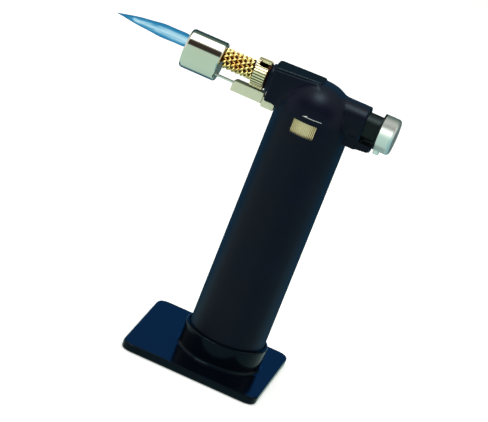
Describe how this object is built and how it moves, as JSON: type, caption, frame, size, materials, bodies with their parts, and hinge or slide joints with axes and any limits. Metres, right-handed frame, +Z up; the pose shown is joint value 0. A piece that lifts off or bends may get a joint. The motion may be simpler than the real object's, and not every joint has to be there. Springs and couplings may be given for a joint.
{
  "type": "butane torch",
  "caption": "Hand-held gas torch with a sideways barrel, finned burner tube, gas wheel and piezo button, standing in a push-in square stand.",
  "frame": {"origin": "underside of the stand plate, straight under the axis of the torch body", "axes": "+Z up along the body axis, -X along the burner towards the flame, +X towards the ignition button, -Y towards the face with the gas wheel window"},
  "size_m": [0.1027, 0.0698, 0.1434],
  "materials": {
    "stand_plastic": "polished navy moulding",
    "casing_plastic": "satin black moulding",
    "badge_plastic": "gloss black pad, blank",
    "button_plastic": "satin black moulding",
    "nickel": "polished nickel plate",
    "satin_silver": "satin plated cap",
    "champagne": "champagne plated, knurled",
    "gold_wire": "bright wire",
    "brass": "turned brass",
    "cover_sheet": "plated pressed sheet",
    "steel": "bright steel",
    "ceramic": "unglazed white ceramic",
    "nylon": "natural nylon",
    "igniter_plastic": "moulded grey",
    "lead_insulation": "silicone insulation",
    "hose_rubber": "fuel hose",
    "seal_rubber": "nitrile",
    "felt": "pressed felt"
  },
  "bodies": {
    "stand": {"stand_base": "stand_plastic"},
    "torch": {"front_casing": "casing_plastic", "back_casing": "casing_plastic", "casing_screw_left": "steel", "casing_screw_right": "steel", "casing_screw_top": "steel", "casing_screw_collar": "steel", "base_cap": "casing_plastic", "name_badge": "badge_plastic", "fuel_tank": "nylon", "tank_cap": "nylon", "fuel_wick": "felt", "filler_body": "brass", "filler_spring": "steel", "filler_seal": "seal_rubber", "gas_valve": "brass", "valve_seal": "seal_rubber", "valve_spring": "steel", "gas_hose": "hose_rubber", "lever_pin": "steel", "barrel": "nickel", "flame_holder": "brass", "burner_tube": "brass", "cooling_coil": "gold_wire", "mixing_chamber": "brass", "burner_neck": "brass", "gas_jet": "brass", "electrode_rod": "steel", "electrode_insulator": "ceramic", "electrode_cover": "cover_sheet", "lead_cover": "cover_sheet", "ignition_lead": "lead_insulation", "piezo_case": "igniter_plastic", "return_spring": "steel"},
    "button": {"button_plunger": "button_plastic", "piezo_slider": "igniter_plastic"},
    "cap": {"button_cap": "satin_silver", "cap_clip": "steel"},
    "wheel": {"gas_wheel": "champagne"},
    "nozzle": {"gas_nozzle": "brass", "nozzle_clip": "steel"},
    "lever": {"valve_lever": "steel"},
    "ring": {"air_ring": "champagne"},
    "filler": {"filler_stem": "brass"}
  },
  "joints": [
    {"name": "torch_lift", "type": "slide", "parent": "stand", "child": "torch", "axis": [0, 0, 1], "range_m": [0, 0.03]},
    {"name": "igniter_press", "type": "slide", "parent": "torch", "child": "button", "axis": [-1, 0, 0], "range_m": [0, 0.0055], "stiffness_N_per_m": 900, "springref_m": -0.004, "deforming": ["return_spring"]},
    {"name": "lock_cap_turn", "type": "hinge", "parent": "button", "child": "cap", "pos_m": [0.034, 0, 0.13195], "axis": [1, 0, 0], "range_deg": [0, 20]},
    {"name": "gas_wheel_turn", "type": "hinge", "parent": "torch", "child": "wheel", "pos_m": [-0.00065, -0.0037, 0.124], "axis": [0, 0, 1], "range_deg": [-90, 90]},
    {"name": "valve_lever_tilt", "type": "hinge", "parent": "torch", "child": "lever", "pos_m": [0.007, -0.0041, 0.1296], "axis": [0, 1, 0], "range_deg": [0, 9.2]},
    {"name": "nozzle_lift", "type": "slide", "parent": "torch", "child": "nozzle", "axis": [0, 0, 1], "range_m": [0, 0.00125], "deforming": ["valve_spring", "gas_hose"]},
    {"name": "air_ring_turn", "type": "hinge", "parent": "torch", "child": "ring", "pos_m": [-0.0292, 0, 0.1347], "axis": [1, 0, 0], "range_deg": [-45, 45]},
    {"name": "filler_press", "type": "slide", "parent": "torch", "child": "filler", "axis": [0, 0, 1], "range_m": [0, 0.0015], "stiffness_N_per_m": 600, "springref_m": -0.002, "deforming": ["filler_spring"]}
  ],
  "couplings": [
    {"joint": "valve_lever_tilt", "follows": "igniter_press", "rad_per_m": 28.56},
    {"joint": "nozzle_lift", "follows": "igniter_press", "ratio": 0.2182}
  ]
}
